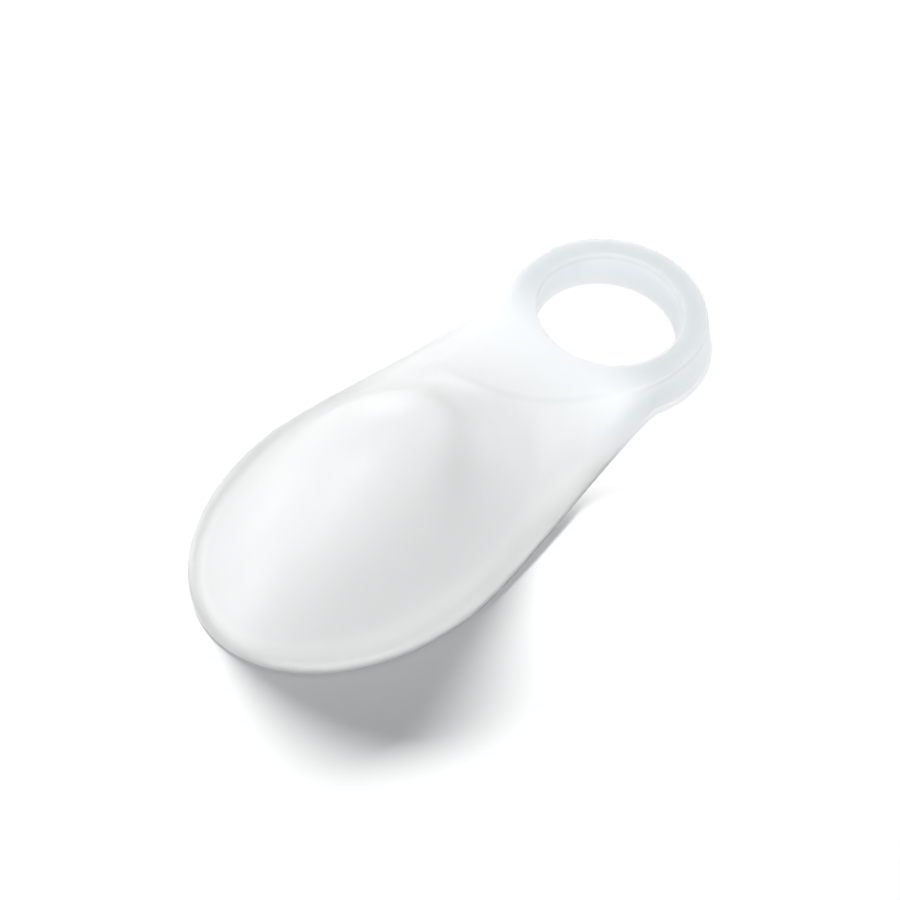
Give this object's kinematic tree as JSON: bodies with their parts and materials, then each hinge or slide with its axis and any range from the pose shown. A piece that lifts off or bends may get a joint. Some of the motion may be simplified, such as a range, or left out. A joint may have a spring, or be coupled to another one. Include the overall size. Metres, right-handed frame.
{
  "type": "foot protector",
  "caption": "Soft moulded silicone foot protector: hollow domed pad with a thin rim and a loop for the big toe.",
  "frame": {"origin": "centre of the object's box, on the plane of the rim that it stands on", "axes": "+X along the pad towards the toe loop, +Y across the pad, +Z out of the domed side"},
  "size_m": [0.096, 0.0426, 0.0195],
  "materials": {
    "clear_silicone": "frosted translucent white silicone, smooth and soft"
  },
  "bodies": {
    "root": {"foot_protector": "clear_silicone"}
  },
  "joints": []
}
